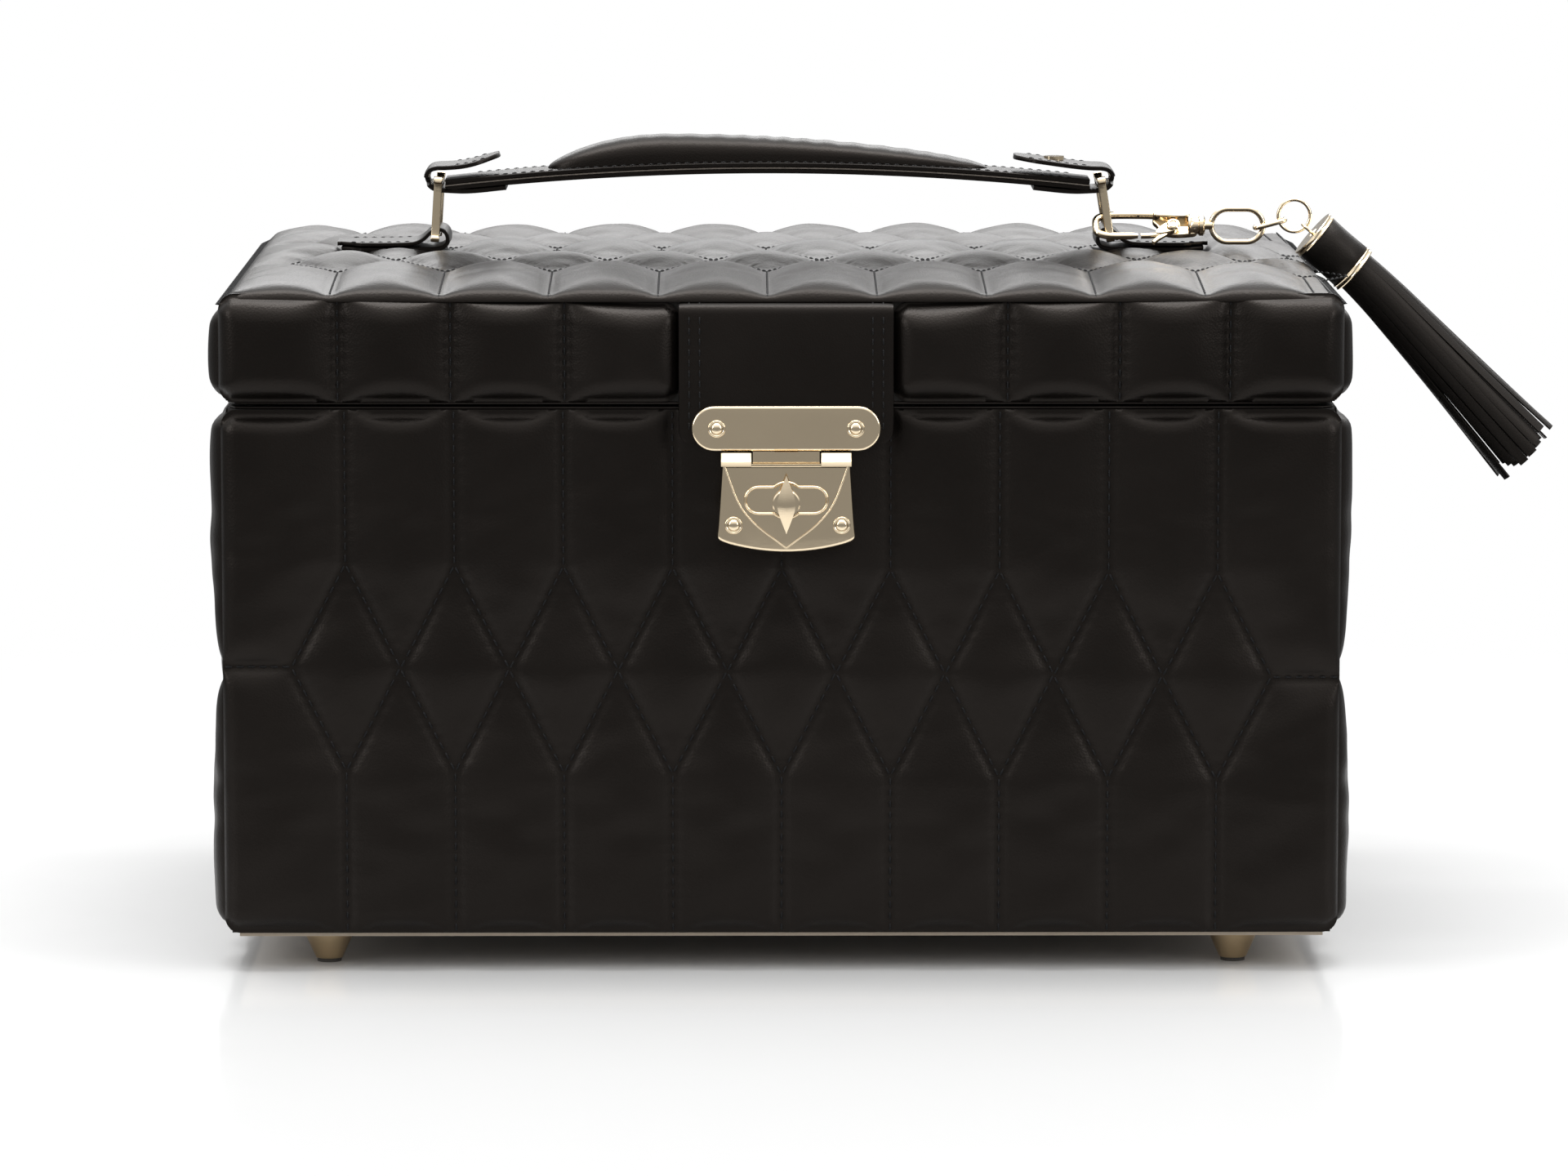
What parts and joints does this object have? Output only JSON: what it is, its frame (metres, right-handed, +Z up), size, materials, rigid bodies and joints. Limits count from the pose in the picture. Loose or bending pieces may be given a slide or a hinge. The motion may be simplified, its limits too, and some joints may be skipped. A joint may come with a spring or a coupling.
{
  "type": "leather jewellery case",
  "caption": "Quilted leather jewellery case with a hinged lid, turn lock, arched carrying handle on rings, metal feet and a clip-on leather tassel.",
  "frame": {"origin": "on the standing plane of the feet, under the middle of the case's body", "axes": "+X to the case's right as seen from the front, +Y to its back, +Z up"},
  "size_m": [0.3956, 0.2412, 0.2335],
  "materials": {
    "panel_leather": "semi-gloss black, quilted over foam",
    "strap_leather": "smooth semi-gloss black with stitched edges",
    "tassel_leather": "thin black strips, semi-matt",
    "board": "plain fibreboard",
    "lining_suede": "taupe suede-like pile",
    "cover_suede": "pale taupe suede-like cloth on card",
    "pale_gold": "polished pale gold plating",
    "hinge_brass": "satin brass",
    "foot_metal": "satin gold",
    "foot_rubber": "matt",
    "mirror_glass": "silvered glass"
  },
  "bodies": {
    "base": {"base_back_board": "board", "base_back_skin": "panel_leather", "base_bottom_board": "board", "base_front_board": "board", "base_front_skin": "panel_leather", "base_left_board": "board", "base_left_skin": "panel_leather", "base_lining": "lining_suede", "base_right_board": "board", "base_right_skin": "panel_leather", "base_screws": "hinge_brass", "bottom_cover": "cover_suede", "feet": "foot_metal", "foot_pads": "foot_rubber", "hinge_base_leaves": "hinge_brass", "hinge_pins": "hinge_brass", "lock_plate": "pale_gold", "lock_rivets": "pale_gold", "ring_rolls": "lining_suede", "tray": "lining_suede", "tray_dividers": "lining_suede", "tray_ledges": "lining_suede", "well_dividers": "lining_suede"},
    "lid": {"chape_left": "strap_leather", "chape_right": "strap_leather", "closure_strap": "strap_leather", "hinge_lid_leaves": "hinge_brass", "hinge_lid_screws": "hinge_brass", "latch_bar": "pale_gold", "latch_rivets": "pale_gold", "latch_tongue": "pale_gold", "lid_back_board": "board", "lid_back_skin": "panel_leather", "lid_front_board": "board", "lid_front_skin_left": "panel_leather", "lid_front_skin_right": "panel_leather", "lid_left_board": "board", "lid_left_skin": "panel_leather", "lid_lining": "lining_suede", "lid_right_board": "board", "lid_right_skin": "panel_leather", "lid_top_board": "board", "lid_top_skin": "panel_leather", "mirror": "mirror_glass"},
    "handle": {"handle_strap": "strap_leather", "handle_grip": "strap_leather", "handle_loops": "strap_leather", "handle_stud": "pale_gold"},
    "tassel": {"tassel_cap": "strap_leather", "tassel_collars": "pale_gold", "tassel_skirt": "tassel_leather"},
    "ring_left": {"ring_left": "pale_gold"},
    "ring_right": {"ring_right": "pale_gold"},
    "clasp": {"clasp_body": "pale_gold"},
    "gate": {"clasp_gate": "pale_gold"},
    "swivel": {"swivel_eye": "pale_gold"},
    "link": {"charm_link": "pale_gold"},
    "charm_ring": {"charm_ring": "pale_gold"},
    "lock_knob": {"lock_knob": "pale_gold", "lock_pawl": "pale_gold"}
  },
  "joints": [
    {"name": "lid_hinge", "type": "hinge", "parent": "base", "child": "lid", "pos_m": [0, 0.115, 0.1633], "axis": [-1, 0, 0], "range_deg": [0, 100]},
    {"name": "knob_turn", "type": "hinge", "parent": "base", "child": "lock_knob", "pos_m": [0.0013, -0.119, 0.1362], "axis": [0, -1, 0], "range_deg": [0, 90]},
    {"name": "ring_left_tilt", "type": "hinge", "parent": "lid", "child": "ring_left", "pos_m": [-0.1025, 0, 0.2025], "axis": [0, 1, 0], "range_deg": [-11, 25]},
    {"name": "handle_swing", "type": "hinge", "parent": "ring_left", "child": "handle", "pos_m": [-0.10136, 0, 0.22117], "axis": [0, 1, 0], "range_deg": [-26, 26]},
    {"name": "ring_right_tilt", "type": "hinge", "parent": "lid", "child": "ring_right", "pos_m": [0.0985, 0, 0.2025], "axis": [0, 1, 0], "range_deg": [-25.5, 25.5]},
    {"name": "clasp_swing", "type": "hinge", "parent": "ring_right", "child": "clasp", "pos_m": [0.0978, -0.01225, 0.207], "axis": [0, 1, 0], "range_deg": [-25.5, 25.5]},
    {"name": "gate_press", "type": "hinge", "parent": "clasp", "child": "gate", "pos_m": [0.117, -0.01302, 0.20636], "axis": [0, 0.6428, -0.766], "range_deg": [0, 14], "stiffness_Nm_per_rad": 0.02},
    {"name": "eye_swivel", "type": "hinge", "parent": "clasp", "child": "swivel", "pos_m": [0.1265, -0.01225, 0.207], "axis": [1, 0, 0], "range_deg": [-90, 90]},
    {"name": "link_swing", "type": "hinge", "parent": "swivel", "child": "link", "pos_m": [0.1438, -0.01225, 0.207], "axis": [0, -1, 0], "range_deg": [0, 18]},
    {"name": "charm_ring_swing", "type": "hinge", "parent": "link", "child": "charm_ring", "pos_m": [0.14853, -0.01225, 0.20827], "axis": [0, -1, 0], "range_deg": [0, 22]},
    {"name": "tassel_swing", "type": "hinge", "parent": "charm_ring", "child": "tassel", "pos_m": [0.15644, -0.01225, 0.20652], "axis": [0, -1, 0], "range_deg": [0, 32]}
  ],
  "couplings": [
    {"joint": "handle_swing", "follows": "ring_left_tilt", "ratio": -1.0206},
    {"joint": "ring_right_tilt", "follows": "ring_left_tilt", "ratio": 1},
    {"joint": "clasp_swing", "follows": "ring_left_tilt", "ratio": -1}
  ]
}
